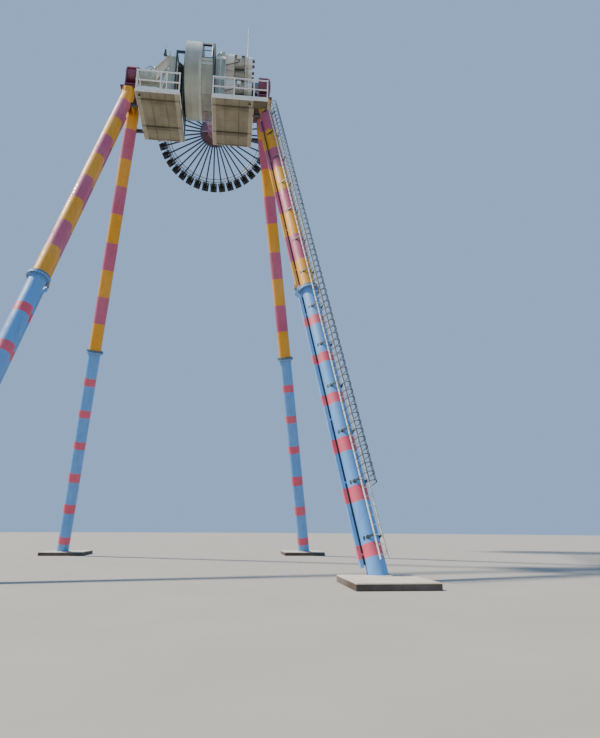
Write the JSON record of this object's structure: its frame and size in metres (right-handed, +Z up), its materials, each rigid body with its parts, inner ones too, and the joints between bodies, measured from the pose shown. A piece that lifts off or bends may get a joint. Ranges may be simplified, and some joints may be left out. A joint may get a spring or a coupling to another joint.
{
  "type": "fairground pendulum ride",
  "caption": "Tall pendulum ride: two A-frame towers of banded tube, a long swinging arm and a spinning spoked wheel of outward-facing seats.",
  "frame": {"origin": "on the ground, midway between the four footings, below the main shaft", "axes": "+X along the main shaft to the side with the ladder, +Y to the rear where the raised arm points, +Z up"},
  "size_m": [15.5, 30.823, 37.6789],
  "materials": {
    "arm_pink_paint": "satin paint",
    "bearing_box_red": "weathered gloss paint",
    "concrete": "rough concrete",
    "dark_steel": "dull paint",
    "deck_plate": "dull paint",
    "drive_grey_paint": "semi gloss paint",
    "drum_grey_paint": "satin paint",
    "duct_paint": "gloss paint in bands",
    "ladder_zinc": "galvanised",
    "lamp_white": "gloss",
    "leg_blue_and_pink": "gloss paint in bands",
    "leg_yellow_and_pink": "gloss paint in bands",
    "motor_paint": "semi gloss paint",
    "restraint_padding": "padded",
    "seat_shell": "moulded",
    "shaft_steel": "machined",
    "spoke_dark_paint": "satin paint",
    "teal_paint": "gloss paint",
    "tray_underside": "dull paint",
    "white_rail_paint": "gloss paint"
  },
  "bodies": {
    "frame": {"beacon_lamp": "lamp_white", "bearing_box_left": "bearing_box_red", "bearing_box_right": "bearing_box_red", "brace_plates_left": "drive_grey_paint", "cable_duct_left": "duct_paint", "cable_duct_right": "duct_paint", "cable_frame_left": "teal_paint", "drive_motors_lower": "motor_paint", "drive_motors_upper": "motor_paint", "gear_case_left": "drive_grey_paint", "gear_case_right": "drive_grey_paint", "ladder": "ladder_zinc", "ladder_brackets": "dark_steel", "ladder_cage": "dark_steel", "leg_lower_front_left": "leg_blue_and_pink", "leg_lower_front_right": "leg_blue_and_pink", "leg_lower_rear_left": "leg_blue_and_pink", "leg_lower_rear_right": "leg_blue_and_pink", "leg_upper_front_left": "leg_yellow_and_pink", "leg_upper_front_right": "leg_yellow_and_pink", "leg_upper_rear_left": "leg_yellow_and_pink", "leg_upper_rear_right": "leg_yellow_and_pink", "lightning_mast": "ladder_zinc", "platform_deck_left": "deck_plate", "platform_deck_right": "deck_plate", "platform_ties_left": "dark_steel", "platform_ties_right": "dark_steel", "platform_tray_left": "tray_underside", "platform_tray_right": "tray_underside", "plinth_front_left": "concrete", "plinth_front_right": "concrete", "plinth_rear_left": "concrete", "plinth_rear_right": "concrete", "railing_left": "white_rail_paint", "railing_right": "white_rail_paint", "shaft_sleeve_left": "drive_grey_paint", "tower_head_left": "leg_yellow_and_pink", "tower_head_right": "leg_yellow_and_pink"},
    "pendulum": {"main_shaft": "shaft_steel", "head_drum": "drum_grey_paint", "head_cheek": "drum_grey_paint", "arm": "arm_pink_paint", "arm_socket": "arm_pink_paint"},
    "gondola": {"gondola_hub": "arm_pink_paint", "spoke_wheel": "spoke_dark_paint", "seat_backs": "seat_shell", "seat_pans": "seat_shell", "seat_restraints": "restraint_padding"}
  },
  "joints": [
    {"name": "arm_swing", "type": "hinge", "parent": "frame", "child": "pendulum", "pos_m": [0, 0, 23.8], "axis": [1, 0, 0], "range_deg": [-239, 1]},
    {"name": "gondola_spin", "type": "hinge", "parent": "pendulum", "child": "gondola", "pos_m": [0.095, 17.14255, 33.30227], "axis": [0, 0.8746, 0.4848], "continuous": true}
  ]
}
